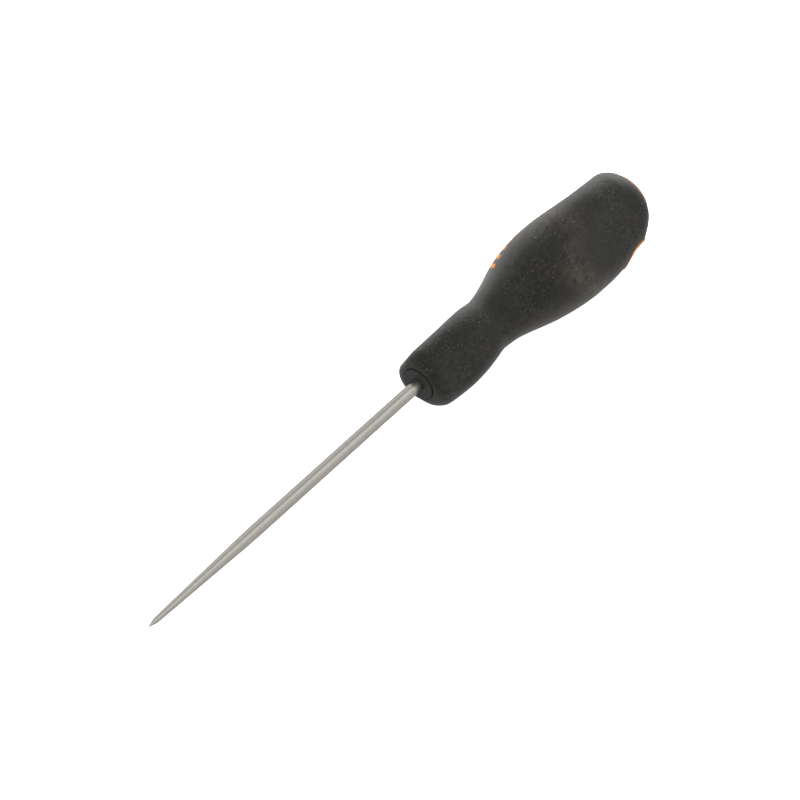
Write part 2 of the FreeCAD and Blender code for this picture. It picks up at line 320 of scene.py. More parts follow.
@dataclass(frozen=True)
class HandleForm:
    """Outer form of the handle: a rounded triangle whose size changes along the tool.

    Args:
        stations: distance behind the nose, half height over a flat, radius over a lobe.
        lobes_deg: direction of each lobe round the axis.
        end_step: distance between rings at both ends.
        step_growth: how much the rings spread with distance from an end.
        least_step: least distance of a ring from the last one.
    """

    stations: tuple[Point, ...] = (
        (0.8, 5.90, 6.10), (1.1, 6.75, 7.45), (2.1, 7.75, 9.20), (4.3, 8.20, 10.60),
        (8.6, 8.20, 11.10), (15.0, 8.25, 11.40), (21.0, 8.45, 11.10), (26.5, 8.55, 10.35),
        (32.0, 8.15, 9.45), (37.5, 8.80, 9.85), (43.0, 10.20, 11.00), (49.0, 12.15, 12.65),
        (55.0, 13.40, 14.20), (61.0, 13.95, 15.35), (66.0, 13.80, 16.05), (71.0, 13.25, 16.45),
        (77.0, 12.40, 16.50), (83.0, 11.80, 16.15), (89.0, 11.50, 15.40), (94.5, 11.35, 14.40),
        (98.0, 11.40, 12.75), (99.9, 11.10, 11.50), (101.1, 10.45, 10.60), (101.7, 9.60, 9.75),
    )
    lobes_deg: tuple[float, ...] = (30.0, 150.0, 270.0)
    end_step: float = 0.09
    step_growth: float = 0.13
    least_step: float = 0.02

    def slopes(self, column: int) -> list[float]:
        """Slope of a size at each station, without overshoot between stations.

        Args:
            column: which value of a station the size is.

        Returns:
            One slope for each station.
        """
        spans = []
        for low, high in zip(self.stations, self.stations[1:]):
            spans.append((high[column] - low[column]) / (high[0] - low[0]))
        inner = []
        for before, after in zip(spans, spans[1:]):
            steady = before * after > 0.0
            inner.append(2.0 * before * after / (before + after) if steady else 0.0)
        return [spans[0], *inner, spans[-1]]

    def sizes(self, x: float) -> Spot:
        """Both sizes of the section at a distance behind the nose.

        Args:
            x: distance behind the nose.

        Returns:
            Half height over a flat, and radius over a lobe.
        """
        last = len(self.stations) - 2
        index = next((i for i in range(last) if x < self.stations[i + 1][0]), last)
        low, high = self.stations[index], self.stations[index + 1]
        width = high[0] - low[0]
        t = min(1.0, max(0.0, (x - low[0]) / width))
        result = []
        for column in (1, 2):
            slope = self.slopes(column)
            start, end = slope[index] * width, slope[index + 1] * width
            rise = high[column] - low[column]
            bend = (3.0 * rise - 2.0 * start - end) * t * t + (start + end - 2.0 * rise) * t ** 3
            result.append(low[column] + start * t + bend)
        return result[0], result[1]

    def radius(self, face: float, lobe: float, turn: float) -> float:
        """Distance from the axis to the surface in a direction round the axis.

        Args:
            face: half height over a flat.
            lobe: radius over a lobe.
            turn: the direction, in radians.

        Returns:
            The distance; each lobe is an arc that runs into the flats beside it.
        """
        reach = 2.0 * (lobe - face)
        corner = lobe - reach
        away = min(abs((turn - math.radians(angle) + math.pi) % FULL_TURN - math.pi)
                   for angle in self.lobes_deg)
        to_flat = math.pi / len(self.lobes_deg)
        arc_end = math.atan2(corner * math.sin(to_flat), reach + corner * math.cos(to_flat))
        if away <= arc_end:
            return reach * math.cos(away) + math.sqrt(corner ** 2 - (reach * math.sin(away)) ** 2)
        return face / math.cos(to_flat - away)

    def ring(self, x: float, count: int, inset: float = 0.0) -> list[Point]:
        """Section of the form at a distance behind the nose, set in by a margin.

        Args:
            x: distance behind the nose.
            count: number of points on the ring.
            inset: how far it lies inside the form.

        Returns:
            The points in order round the axis.
        """
        face, lobe = self.sizes(x)
        points = []
        for turn in turns(count):
            radius = self.radius(face, lobe, turn) - inset
            points.append((x, radius * math.cos(turn), radius * math.sin(turn)))
        return points

    def places(self, step: float) -> list[float]:
        """Distances of the rings, closer together round both ends.

        Args:
            step: widest distance between two rings.

        Returns:
            The distances behind the nose, in order.
        """
        first, last = self.stations[0][0], self.stations[-1][0]
        places, x = [], first
        while x < last - self.least_step:
            places.append(x)
            edge = min(x - first, last - x)
            x += min(step, self.end_step + self.step_growth * edge)
        return places + [last]


# ------------------------------------------------------------------ finishes
@dataclass(frozen=True)
class Pattern:
    """Fractal noise, and the part of its range that is spread over 0 to 1.

    Args:
        scale: features per millimetre.
        detail: number of finer layers.
        rough: strength of the finer layers.
        low: noise at which the spread pattern is 0.
        high: noise at which it is 1.
    """

    scale: float
    detail: float
    rough: float
    low: float = 0.0
    high: float = 1.0


@dataclass(frozen=True)
class Relief:
    """A bump on a surface.

    Args:
        pattern: the noise that is its height.
        strength: strength of its shading.
        depth: its depth in millimetres.
    """

    pattern: Pattern
    strength: float
    depth: float


@dataclass(frozen=True)
class Specks:
    """Scattered dots.

    Args:
        scale: cells per millimetre.
        share: share of the cells that hold a dot.
        size: radius of a dot as a share of a cell.
        cover: how much a dot covers what is under it.
        core: radius inside which a dot covers fully, as a share of its own.
    """

    scale: float
    share: float
    size: float
    cover: float
    core: float = 0.45


class Nodes:
    """A node tree under construction."""

    def __init__(self, tree: bpy.types.NodeTree) -> None:
        """Take the tree that the nodes go into."""
        self.tree = tree

    def add(self, kind: str, settings: dict[str, Any] | None = None, **inputs: Any) -> bpy.types.Node:
        """Add a node.

        Args:
            kind: type of the node.
            settings: properties of the node itself.
            inputs: values or sockets by input name, with underscores for spaces.

        Returns:
            The new node.
        """
        node = self.tree.nodes.new("ShaderNode" + kind)
        for key, value in (settings or {}).items():
            setattr(node, key, value)
        for key, value in inputs.items():
            self.feed(node.inputs[key.replace("_", " ")], value)
        return node

    def feed(self, socket: bpy.types.NodeSocket, value: Any) -> None:
        """Link a socket to another, or set its value.

        Args:
            socket: the input.
            value: the output to link to it, or its value.
        """
        if isinstance(value, bpy.types.NodeSocket):
            self.tree.links.new(value, socket)
        else:
            socket.default_value = value

    def remap(self, value: bpy.types.NodeSocket, low: float, high: float,
              to_low: float = 0.0, to_high: float = 1.0) -> bpy.types.NodeSocket:
        """Map a range of a value onto another, clamped and eased.

        Args:
            value: the value.
            low: value that becomes to_low.
            high: value that becomes to_high.
            to_low: result at low and beyond it.
            to_high: result at high and beyond it.

        Returns:
            The mapped value.
        """
        node = self.add("MapRange", {"interpolation_type": "SMOOTHSTEP"}, Value=value, From_Min=low,
                        From_Max=high, To_Min=to_low, To_Max=to_high)
        return node.outputs[0]

    def math(self, operation: str, first: Any, second: Any) -> bpy.types.NodeSocket:
        """One arithmetic step.

        Args:
            operation: what to do with the two.
            first: first value or socket.
            second: second value or socket.

        Returns:
            The result.
        """
        node = self.add("Math", {"operation": operation})
        self.feed(node.inputs[0], first)
        self.feed(node.inputs[1], second)
        return node.outputs[0]

    def mix(self, factor: Any, first: Any, second: Any) -> bpy.types.NodeSocket:
        """Blend two colours.

        Args:
            factor: share of the second.
            first: first colour or socket.
            second: second colour or socket.

        Returns:
            The blended colour.
        """
        node = self.add("Mix", {"data_type": "RGBA"})
        colours = [socket for socket in node.inputs if socket.type == "RGBA"]
        for socket, value in zip((node.inputs[0], *colours), (factor, first, second)):
            self.feed(socket, (*value, 1.0) if isinstance(value, tuple) else value)
        return next(socket for socket in node.outputs if socket.type == "RGBA")


class Shader(Nodes):
    """A material under construction, with coordinates in millimetres in the tool's axes."""

    def __init__(self, name: str, tool: Matrix) -> None:
        """Start a material with its surface shader.

        Args:
            name: name of the material.
            tool: the tool's axes in the row frame.
        """
        self.material = bpy.data.materials.new(name)
        self.material.use_nodes = True
        super().__init__(self.material.node_tree)
        self.surface = self.tree.nodes["Principled BSDF"]
        back = Matrix.Scale(1.0 / MM, 4) @ tool.inverted()
        mapping = self.add("Mapping", Vector=self.add("TexCoord").outputs["Object"],
                           Location=back.translation, Rotation=back.to_euler(), Scale=back.to_scale())
        self.place = mapping.outputs[0]

    def set(self, **inputs: Any) -> None:
        """Set or link inputs of the surface shader."""
        for key, value in inputs.items():
            self.feed(self.surface.inputs[key.replace("_", " ")], value)

    def stretched(self, scale: Point) -> bpy.types.NodeSocket:
        """Coordinates scaled along each of the tool's axes."""
        return self.add("Mapping", Vector=self.place, Scale=scale).outputs[0]

    def noise(self, pattern: Pattern, place: bpy.types.NodeSocket | None = None) -> bpy.types.NodeSocket:
        """Noise of a pattern, as it comes.

        Args:
            pattern: the pattern.
            place: coordinates to lay it in, if not the usual ones.

        Returns:
            The noise.
        """
        node = self.add("TexNoise", Vector=place or self.place, Scale=pattern.scale,
                        Detail=pattern.detail, Roughness=pattern.rough)
        return node.outputs["Fac"]

    def spread(self, pattern: Pattern) -> bpy.types.NodeSocket:
        """Noise of a pattern, spread over 0 to 1."""
        return self.remap(self.noise(pattern), pattern.low, pattern.high)

    def stored(self, name: str) -> bpy.types.NodeSocket:
        """Value stored at the mesh's vertices."""
        return self.add("Attribute", {"attribute_name": name}).outputs["Fac"]

    def dots(self, specks: Specks, place: bpy.types.NodeSocket | None = None) -> bpy.types.NodeSocket:
        """Mask of scattered dots.

        Args:
            specks: the dots.
            place: coordinates to scatter them in, if not the usual ones.

        Returns:
            Their cover on a dot, and 0 elsewhere.
        """
        cells = self.add("TexVoronoi", Vector=place or self.place, Scale=specks.scale, Randomness=1.0)
        lot = self.add("SeparateColor", Color=cells.outputs["Color"]).outputs[0]
        dot = self.remap(cells.outputs["Distance"], specks.size, specks.size * specks.core)
        mask = self.math("MULTIPLY", dot, self.math("LESS_THAN", lot, specks.share))
        return self.math("MULTIPLY", mask, specks.cover)

    def bump(self, height: bpy.types.NodeSocket, relief: Relief,
             under: bpy.types.NodeSocket | None = None) -> bpy.types.NodeSocket:
        """Bump from a height, laid over another bump.

        Args:
            height: the height.
            relief: strength and depth of the bump.
            under: the bump that it lies on.

        Returns:
            The surface normal.
        """
        node = self.add("Bump", Height=height, Strength=relief.strength, Distance=relief.depth * MM)
        if under is not None:
            self.feed(node.inputs["Normal"], under)
        return node.outputs[0]


@dataclass(frozen=True)
class RubberFinish:
    """Matt black over-mould with a moulded grain, dust, and a painted highlight along the bulb's crest."""

    dark: Colour = (0.0055, 0.0052, 0.0046)
    light: Colour = (0.038, 0.0345, 0.0275)
    # Colour of the painted highlight along the bulb's crest.
    crest_highlight: Colour = (0.088, 0.069, 0.048)
    dust: Colour = (0.36, 0.345, 0.31)
    roughness: Spot = (0.49, 0.62)
    specular: float = 0.3
    sheen: float = 0.25
    sheen_roughness: float = 0.5
    mottle: Pattern = Pattern(0.6, 8.0, 0.9, 0.42, 0.60)
    smudge: Pattern = Pattern(0.085, 3.0, 0.55, 0.40, 0.62)
    smudge_share: float = 0.55
    patch: Pattern = Pattern(0.42, 6.0, 0.65, 0.28, 0.70)
    waviness: Relief = Relief(Pattern(0.35, 3.0, 0.5), 0.22, 0.25)
    grain: Relief = Relief(Pattern(2.6, 6.0, 0.7), 0.55, 0.07)
    haze: Specks = Specks(1.4, 0.75, 0.28, 0.25)
    specks: Specks = Specks(0.85, 0.8, 0.15, 0.7)
    fibres: Specks = Specks(0.9, 0.3, 0.16, 0.22)
    fibre_stretch: Point = (0.28, 1.0, 1.0)
    drift: Pattern = Pattern(0.10, 4.0, 0.6, 0.42, 0.60)
    least_dust: float = 0.1
    crest_dust: float = 0.4

    def build(self, tool: Matrix) -> bpy.types.Material:
        """Make the material.

        Args:
            tool: the tool's axes in the row frame.

        Returns:
            The material.
        """
        shader = Shader("black_rubber_worn", tool)
        mottle = shader.spread(self.mottle)
        colour = shader.mix(mottle, self.dark, self.light)
        smudge = shader.math("MULTIPLY", shader.spread(self.smudge), self.smudge_share)
        colour = shader.mix(smudge, colour, self.dark)
        crest = shader.stored(CREST)
        # Painted highlight: a lighter brown band along the bulb's crest, broken into patches.
        colour = shader.mix(shader.math("MULTIPLY", crest, shader.spread(self.patch)), colour, self.crest_highlight)
        colour = shader.mix(self.dusting(shader, crest), colour, self.dust)
        normal = shader.bump(shader.noise(self.waviness.pattern), self.waviness)
        normal = shader.bump(shader.noise(self.grain.pattern), self.grain, normal)
        rough = shader.remap(mottle, 0.0, 1.0, *self.roughness)
        shader.set(Base_Color=colour, Roughness=rough, Normal=normal, Specular_IOR_Level=self.specular,
                   Sheen_Weight=self.sheen, Sheen_Roughness=self.sheen_roughness)
        return shader.material

    def dusting(self, shader: Shader, crest: bpy.types.NodeSocket) -> bpy.types.NodeSocket:
        """Cover of dust: a fine haze, scattered specks and short fibres.

        Args:
            shader: the material under construction.
            crest: the band along the bulb's crest that carries the painted highlight and extra dust.

        Returns:
            A socket that is 1 under full dust.
        """
        fibres = shader.dots(self.fibres, shader.stretched(self.fibre_stretch))
        large = shader.math("MAXIMUM", shader.dots(self.specks), fibres)
        drift = self.drift
        cover = shader.remap(shader.noise(drift), drift.low, drift.high, self.least_dust)
        cover = shader.math("ADD", cover, shader.math("MULTIPLY", crest, self.crest_dust))
        cover = shader.math("MINIMUM", cover, 1.0)
        return shader.math("MULTIPLY", shader.math("MAXIMUM", shader.dots(self.haze), large), cover)


@dataclass(frozen=True)
class PlasticFinish:
    """Moulded plastic with faint flow marks, a fine grain and a little dust.

    Args:
        name: name of the finish.
        base: main colour.
        streak: colour of the flow marks.
        roughness: roughness between the flow marks and on them.
        grain: the moulded grain.
        flow: the flow marks.
        specks: the dust.
        dust: its colour.
    """

    name: str
    base: Colour
    streak: Colour
    roughness: Spot
    grain: Relief
    flow: Pattern = Pattern(0.5, 5.0, 0.6, 0.3, 0.7)
    specks: Specks = Specks(2.0, 0.18, 0.14, 0.3)
    dust: Colour = (0.45, 0.43, 0.40)

    def build(self, tool: Matrix) -> bpy.types.Material:
        """Make the material.

        Args:
            tool: the tool's axes in the row frame.

        Returns:
            The material.
        """
        shader = Shader(self.name, tool)
        flow = shader.spread(self.flow)
        colour = shader.mix(flow, self.base, self.streak)
        colour = shader.mix(shader.dots(self.specks), colour, self.dust)
        normal = shader.bump(shader.noise(self.grain.pattern), self.grain)
        rough = shader.remap(flow, 0.0, 1.0, *self.roughness)
        shader.set(Base_Color=colour, Roughness=rough, Normal=normal)
        return shader.material


@dataclass(frozen=True)
class SteelFinish:
    """Satin steel with grinding lines round it and a faint haze."""

    bright: Colour = (0.64, 0.615, 0.565)
    dull: Colour = (0.54, 0.52, 0.475)
    edge: Colour = (0.66, 0.65, 0.64)
    roughness: Spot = (0.16, 0.27)
    grinding: Relief = Relief(Pattern(1.0, 5.0, 0.7, 0.35, 0.65), 0.10, 0.005)
    grinding_stretch: Point = (5.0, 0.25, 0.25)
    haze: Pattern = Pattern(0.18, 5.0, 0.6, 0.3, 0.7)
    haze_share: float = 0.35

    def build(self, tool: Matrix) -> bpy.types.Material:
        """Make the material.

        Args:
            tool: the tool's axes in the row frame.

        Returns:
            The material.
        """
        shader = Shader("steel_satin", tool)
        pattern = self.grinding.pattern
        lines = shader.noise(pattern, shader.stretched(self.grinding_stretch))
        haze = shader.spread(self.haze)
        colour = shader.mix(shader.remap(lines, pattern.low, pattern.high), self.bright, self.dull)
        colour = shader.mix(shader.math("MULTIPLY", haze, self.haze_share), colour, self.dull)
        rough = shader.remap(haze, 0.0, 1.0, *self.roughness)
        shader.set(Base_Color=colour, Roughness=rough, Normal=shader.bump(lines, self.grinding),
                   Metallic=1.0, Specular_Tint=(*self.edge, 1.0))
        return shader.material


ORANGE_FINISH = PlasticFinish(
    name="orange_plastic", base=(0.72, 0.26, 0.042), streak=(0.63, 0.205, 0.03),
    roughness=(0.36, 0.46), grain=Relief(Pattern(5.0, 4.0, 0.6), 0.15, 0.04),
)
BLACK_FINISH = PlasticFinish(
    name="black_plastic", base=(0.008, 0.0083, 0.0095), streak=(0.012, 0.0125, 0.014),
    roughness=(0.40, 0.50), grain=Relief(Pattern(5.0, 4.0, 0.6), 0.12, 0.04),
)


# ------------------------------------------------------------ sub-assemblies
@dataclass(frozen=True)
class Tang:
    """Hidden tail of the blade with two pairs of swaged wings, behind the nose."""

    radius: float = 1.7
    end: float = 62.0
    wing_fronts: tuple[float, ...] = (16.0, 38.0)
    wing_length: float = 7.0
    half_width: float = 3.2
    half_thickness: float = 0.5

    def wings(self) -> list[Solid]:
        """The wings as flat blocks.

        Returns:
            One block for each pair.
        """
        blocks = []
        for front in self.wing_fronts:
            rear = front + self.wing_length
            outline = [(front, -self.half_width), (rear, -self.half_width),
                       (rear, self.half_width), (front, self.half_width)]
            blocks.append(Solid.prism("wing", outline, -self.half_thickness, self.half_thickness, True))
        return blocks


@dataclass
class Blade:
    """Ground point, long taper, round shank and tang."""

    length: float = 120.0
    tip_radius: float = 0.15
    point_length: float = 2.8
    point_radius: float = 0.9
    taper_end: float = 43.5
    shank_radius: float = 2.0
    shank_end: float = 0.42
    chamfer_end: float = 0.78
    tip_rounding: float = 0.1
    point_rounding: float = 0.7
    taper_rounding: float = 5.0
    rounding_steps: int = 8
    step: float = 1.5
    segments: int = 96
    tang: Tang = field(default_factory=Tang)

    def profile(self) -> list[Spot]:
        """Half section from the point to the end of the tang.

        Returns:
            Points of distance behind the nose and radius.
        """
        tip = -self.length
        corners = [
            (tip, 0.0), (tip, self.tip_radius), (tip + self.point_length, self.point_radius),
            (tip + self.taper_end, self.shank_radius), (self.shank_end, self.shank_radius),
            (self.chamfer_end, self.tang.radius), (self.tang.end, self.tang.radius), (self.tang.end, 0.0),
        ]
        radii = [0.0] * len(corners)
        radii[1:4] = self.tip_rounding, self.point_rounding, self.taper_rounding
        return divided(rounded(corners, radii, self.rounding_steps), self.step)

    def build(self, tool: Matrix, finish: bpy.types.Material) -> bpy.types.Object:
        """Make the blade.

        Args:
            tool: the tool's axes in the row frame.
            finish: its material.

        Returns:
            The piece.
        """
        blade = Solid.turned("blade_steel", self.profile(), self.segments)
        for wing in self.tang.wings():
            blade.combine(wing, Join.ADD)
        return blade.finished(tool, finish, Slot.STEEL, "blade")


@dataclass
class Core:
    """Black core moulded round the tang; its front face is the disc at the nose."""

    disc_x: float = 0.45
    disc_radius: float = 5.35
    lip_depth: float = 2.0
    front_radius: float = 6.4
    shoulder: float = 4.0
    neck_radius: float = 4.6
    neck_end: float = 34.0
    bulb_start: float = 50.0
    bulb_radius: float = 7.2
    end: float = 70.0
    entry_radius: float = 2.06
    entry_end: float = 0.92
    dish: float = 0.06
    dish_rim: float = 1.5
    edge_rounding: float = 0.35
    dish_rounding: float = 0.6
    entry_rounding: float = 0.1
    tang: Tang = field(default_factory=Tang)

    def profile(self) -> list[Spot]:
        """Half section from the rear round the outside and back along the tang's seat.

        Returns:
            Points of distance behind the nose and radius.
        """
        corners = [
            (self.end, 0.0), (self.end, self.bulb_radius), (self.bulb_start, self.bulb_radius),
            (self.neck_end, self.neck_radius), (self.shoulder, self.neck_radius),
            (self.shoulder, self.front_radius), (self.lip_depth, self.front_radius),
            (self.lip_depth, self.disc_radius), (self.disc_x, self.disc_radius),
            (self.disc_x + self.dish, self.disc_radius - self.dish_rim),
            (self.disc_x + self.dish, self.entry_radius), (self.entry_end, self.tang.radius),
            (self.tang.end, self.tang.radius), (self.tang.end, 0.0),
        ]
        radii = [0.0] * len(corners)
        radii[8:11] = self.edge_rounding, self.dish_rounding, self.entry_rounding
        return rounded(corners, radii)

    def build(self, tool: Matrix, finish: bpy.types.Material) -> bpy.types.Object:
        """Make the core.

        Args:
            tool: the tool's axes in the row frame.
            finish: its material.

        Returns:
            The piece.
        """
        core = Solid.turned("core_black", self.profile())
        for wing in self.tang.wings():
            core.combine(wing, Join.CUT)
        return core.finished(tool, finish, Slot.BLACK_PLASTIC, "core")


@dataclass(frozen=True)
class Marks:
    """Row of slanted coloured bars across one flat of the bulb."""

    count: int = 4
    start: float = 46.0
    pitch: float = 3.8
    width: float = 1.7
    low: float = -4.3
    high: float = 5.3
    slant: float = 4.8
    corner: float = 0.5
    top: float = 30.0

    def solids(self, bottom: float, grow: float = 0.0) -> list[Solid]:
        """Bars as upright blocks that end above the handle.

        Args:
            bottom: height over the axis where they start.
            grow: margin added all round.

        Returns:
            One block for each bar.
        """
        blocks = []
        for index in range(self.count):
            left = self.start + index * self.pitch - grow
            right = left + self.width + 2.0 * grow
            corners = [(left, self.low - grow), (right, self.low - grow),
                       (right + self.slant, self.high + grow), (left + self.slant, self.high + grow)]
            blocks.append(Solid.prism("bar", bar(corners, self.corner), bottom, self.top))
        return blocks


@dataclass(frozen=True)
class HangingHole:
    """Hole across the butt, flaring to an oval mouth on both sides."""

    x: float = 90.5
    radius: float = 3.2
    land: float = 3.6
    mouth_plane: float = 16.0
    mouth: Spot = (6.1, 3.95)
    lining: Spot = (6.6, 4.4)
    flare_steps: int = 9
    overrun: float = 2.0
    overrun_flare: float = 0.2

    def lining_block(self, grow: float = 0.0) -> Solid:
        """Oval block that the lining fills, from side to side.

        Args:
            grow: margin added all round.

        Returns:
            The block, longer than the handle is high.
        """
        outline = oval(self.x, self.lining[0] + grow, self.lining[1] + grow)
        return Solid.prism("lining", outline, -2.0 * self.mouth_plane, 2.0 * self.mouth_plane)

    def clear_space(self) -> Solid:
        """The open space of the hole with both flared mouths.

        Returns:
            A solid that runs out of the handle on both sides.
        """
        half = []
        for step in range(self.flare_steps + 1):
            share = step / self.flare_steps
            wide = self.radius + (self.mouth[0] - self.radius) * share
            narrow = self.radius + (self.mouth[1] - self.radius) * share
            half.append((self.land + (self.mouth_plane - self.land) * share, wide, narrow))
        beyond = half[-1][1] + self.overrun_flare, half[-1][2] + self.overrun_flare
        half.append((self.mouth_plane + self.overrun, *beyond))
        levels = [(-height, *size) for height, *size in reversed(half)] + half
        rings = [[(x, y, height) for x, y in oval(self.x, wide, narrow)] for height, wide, narrow in levels]
        return Solid.skinned("hole", rings)


@dataclass
class Shell:
    """Coloured shell over the core; its marks and hole lining rise to the outer form."""

    form: HandleForm
    marks: Marks
    hole: HangingHole
    profile: tuple[Spot, ...] = (
        (4.0, 6.4), (33.0, 6.4), (53.0, 10.6), (82.0, 10.6), (96.5, 9.3), (99.4, 9.0),
    )
    hollow: tuple[Spot, ...] = ((70.0, 7.2), (50.0, 7.2), (34.0, 4.6), (4.0, 4.6))
    socket: Spot = (95.7, 5.0)
    sink: float = 0.05
    proud: float = 0.2
    overrun: float = 1.0
    marks_bottom: float = 6.0
    first: float = 40.0
    last: float = 100.0
    segments: int = 216
    step: float = 0.8

    def body(self) -> Solid:
        """The turned shell with the hollow for the core and the socket for the end cap.

        Returns:
            The shell without what rises through the soft grip.
        """
        front, rear = self.profile[0][0], self.profile[-1][0]
        shell = Solid.turned("colour_shell_orange", [(front, 0.0), *self.profile, (rear, 0.0)])
        rim = front - self.overrun, self.hollow[-1][1]
        hollow = [(self.hollow[0][0], 0.0), *self.hollow, rim, (rim[0], 0.0)]
        shell.combine(Solid.turned("hollow", hollow), Join.CUT)
        start, radius = self.socket
        end = rear + self.overrun
        socket = [(start, 0.0), (start, radius), (end, radius), (end, 0.0)]
        return shell.combine(Solid.turned("socket", socket), Join.CUT)

    def risers(self) -> Solid:
        """What rises through the soft grip: flush marks and a lining a little proud.

        Returns:
            Both as one solid.
        """
        bars, *others = self.marks.solids(self.marks_bottom)
        for block in others:
            bars.combine(block, Join.ADD)
        lining = self.blank(-self.proud).combine(self.hole.lining_block(), Join.KEEP)
        return self.blank(self.sink).combine(bars, Join.KEEP).combine(lining, Join.ADD)

    def blank(self, inset: float) -> Solid:
        """Stretch of the outer form, set in by a margin."""
        places = [x for x in self.form.places(self.step) if self.first <= x <= self.last]
        return Solid.skinned("risers", [self.form.ring(x, self.segments, inset) for x in places])

    def build(self, tool: Matrix, finish: bpy.types.Material) -> bpy.types.Object:
        """Make the shell.

        Args:
            tool: the tool's axes in the row frame.
            finish: its material.

        Returns:
            The piece.
        """
        shell = self.body()
        shell.combine(self.risers(), Join.ADD)
        shell.combine(self.hole.clear_space(), Join.CUT)
        return shell.finished(tool, finish, Slot.ORANGE, "colour_shell")


@dataclass
class Grip:
    """Soft over-mould with windows for everything that shows through it."""

    form: HandleForm
    marks: Marks
    hole: HangingHole
    lip: Spot = (2.0, 5.6)
    inside: tuple[Spot, ...] = (
        (99.4, 9.25), (99.4, 9.0), (96.5, 9.3), (82.0, 10.6), (53.0, 10.6), (33.0, 6.4), (2.0, 6.4),
    )
    cap_radius: float = 9.25
    cap_gap: float = 0.08
    rear_bevel: Spot = (0.05, 0.12)
    seat_depth: float = 0.2
    lip_depth: float = 0.16
    front_bevel: Spot = (0.03, 0.06)
    window_bottom: float = 0.5
    window_gap: float = 0.04
    inset: float = 0.03
    segments: int = 288
    step: float = 0.6
    crest_x: float = 66.5
    crest_swing: float = 5.0
    crest_turn: float = 30.0
    crest_width: float = 5.0
    # Side where the painted crest highlight is strongest, and its least share on the far side.
    lit_side: float = 245.0
    least_highlight: float = 0.45

    def blank(self) -> Solid:
        """The grip before its windows are cut.

        Returns:
            A sleeve whose outside is the outer form.
        """
        rings = [self.form.ring(x, self.segments, self.inset) for x in self.form.places(self.step)]
        front, rear = self.form.stations[0][0], self.form.stations[-1][0]
        seat, lip = self.cap_radius + self.cap_gap, self.lip[1]
        inner = [
            (rear - self.rear_bevel[0], seat + self.rear_bevel[1]), (rear - self.seat_depth, seat),
            *self.inside, self.lip, (front + self.lip_depth, lip),
            (front + self.front_bevel[0], lip + self.front_bevel[1]),
        ]
        rings += [circle(x, radius, self.segments) for x, radius in inner]
        return Solid.skinned("soft_grip_rubber", rings, looped=True)

    def store_crest(self, mesh: bpy.types.Mesh, tool: Matrix) -> None:
        """Store the painted highlight at each vertex: a band along the bulb's crest, stronger on the side
        turned to the bright front.

        Args:
            mesh: the finished mesh, in metres in the row frame.
            tool: the tool's axes in the row frame.
        """
        values = mesh.attributes.new(CREST, "FLOAT", "POINT")
        back = tool.inverted()
        waves = len(self.form.lobes_deg)
        for vertex in mesh.vertices:
            x, y, z = (back @ vertex.co) / MM
            turn = math.atan2(z, y)
            swing = math.cos(waves * (turn - math.radians(self.crest_turn)))
            near = math.exp(-((x - self.crest_x - self.crest_swing * swing) / self.crest_width) ** 2)
            # Painted highlight: the crest band is made stronger on the side that faces the light.
            side = max(0.0, math.cos(turn - math.radians(self.lit_side)))
            highlight_share = self.least_highlight + (1.0 - self.least_highlight) * side
            values.data[vertex.index].value = near * highlight_share

    def build(self, tool: Matrix, finish: bpy.types.Material) -> bpy.types.Object:
        """Make the grip.

        Args:
            tool: the tool's axes in the row frame.
            finish: its material.

        Returns:
            The piece.
        """
        grip = self.blank()
        for block in self.marks.solids(self.window_bottom, self.window_gap):
            grip.combine(block, Join.CUT)
        grip.combine(self.hole.lining_block(self.window_gap), Join.CUT)
        piece = grip.finished(tool, finish, Slot.RUBBER, "soft_grip")
        self.store_crest(piece.data, tool)
        return piece


@dataclass
class EndCap:
    """Plug pressed into the butt, with a rounded rim."""

    socket_x: float = 95.7
    spigot_radius: float = 5.0
    shoulder_x: float = 99.4
    radius: float = 9.25
    edge_x: float = 102.35
    rounding: Spot = (102.95, 8.7)
    crown: Spot = (103.35, 7.4)
    crown_width: float = 1.2
    dish_rim: float = 2.2
    dish: float = 0.3
    roundings: tuple[float, ...] = (0.0, 0.3, 0.0, 0.0, 0.3, 0.35, 0.5, 0.3, 0.4, 0.0)

    def profile(self) -> list[Spot]:
        """Half section from the spigot's end to the middle of the crown.

        Returns:
            Points of distance behind the nose and radius.
        """
        crown_x, crown_radius = self.crown
        corners = [
            (self.socket_x, 0.0), (self.socket_x, self.spigot_radius), (self.shoulder_x, self.spigot_radius),
            (self.shoulder_x, self.radius), (self.edge_x, self.radius), self.rounding, self.crown,
            (crown_x, crown_radius - self.crown_width),
            (crown_x - self.dish, crown_radius - self.dish_rim), (crown_x - self.dish, 0.0),
        ]
        return rounded(corners, self.roundings)

    def build(self, tool: Matrix, finish: bpy.types.Material) -> bpy.types.Object:
        """Make the end cap.

        Args:
            tool: the tool's axes in the row frame.
            finish: its material.

        Returns:
            The piece.
        """
        cap = Solid.turned("end_cap_orange", self.profile())
        return cap.finished(tool, finish, Slot.ORANGE, "end_cap")


